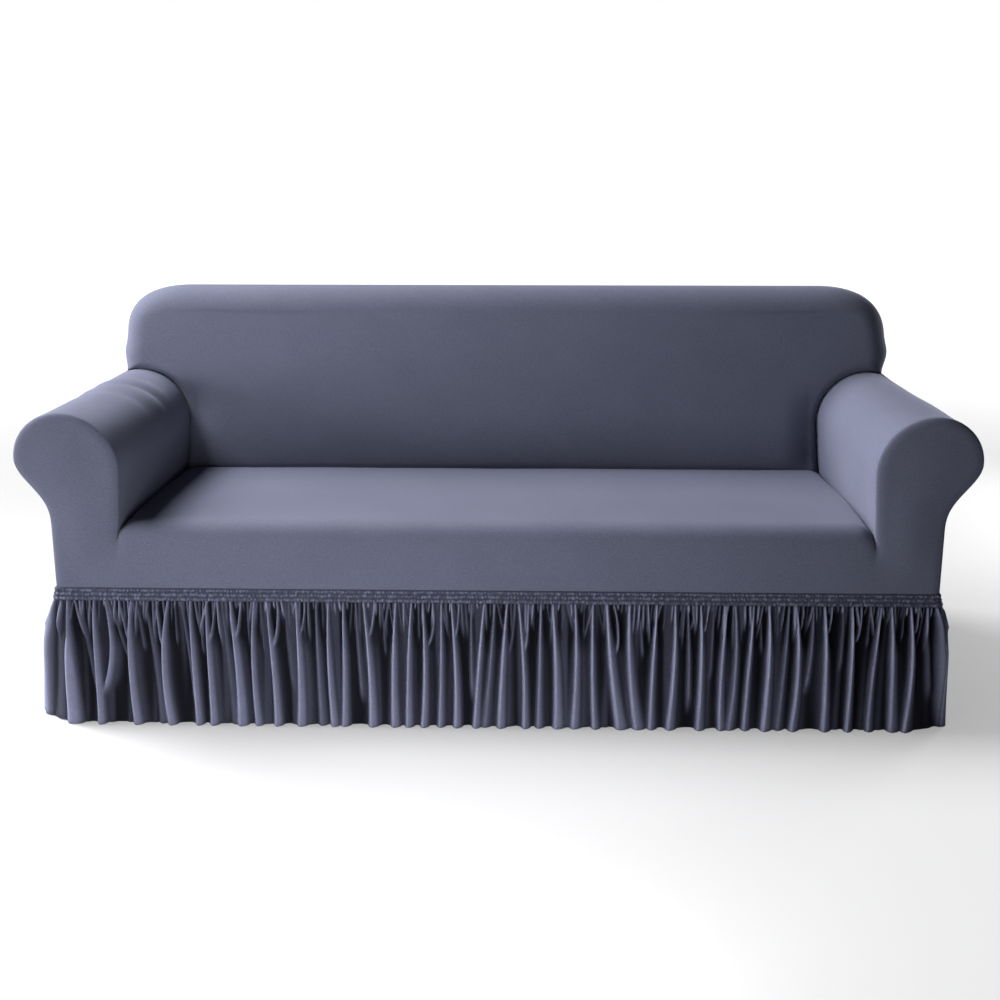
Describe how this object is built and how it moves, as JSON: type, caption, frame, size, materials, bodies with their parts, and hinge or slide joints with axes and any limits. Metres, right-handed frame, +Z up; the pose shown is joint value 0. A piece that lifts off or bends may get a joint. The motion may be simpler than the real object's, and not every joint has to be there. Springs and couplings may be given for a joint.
{
  "type": "sofa slipcover",
  "caption": "Stretch-knit slipcover for a rolled-arm three-seat sofa, hollow and open underneath, with a shirred band and a gathered skirt down to the floor.",
  "frame": {"origin": "on the floor, under the middle of the cover", "axes": "+Z up; the front, with the seat, faces -Y; +X runs along the cover, to the viewer's right"},
  "size_m": [2.154, 1.0134, 0.9319],
  "materials": {
    "front_panel": "matt stretch knit",
    "arm_sleeve_left": "matt stretch knit",
    "arm_sleeve_right": "matt stretch knit",
    "inside_back": "matt stretch knit",
    "outside_back": "matt stretch knit",
    "shirred_band": "gathered stretch knit",
    "skirt_front": "gathered stretch knit",
    "skirt_back": "gathered stretch knit",
    "skirt_left": "gathered stretch knit",
    "skirt_right": "gathered stretch knit"
  },
  "bodies": {
    "root": {"front_panel": "front_panel", "arm_sleeve_left": "arm_sleeve_left", "arm_sleeve_right": "arm_sleeve_right", "inside_back": "inside_back", "outside_back": "outside_back", "shirred_band": "shirred_band", "skirt_front": "skirt_front", "skirt_back": "skirt_back", "skirt_left": "skirt_left", "skirt_right": "skirt_right"}
  },
  "joints": []
}
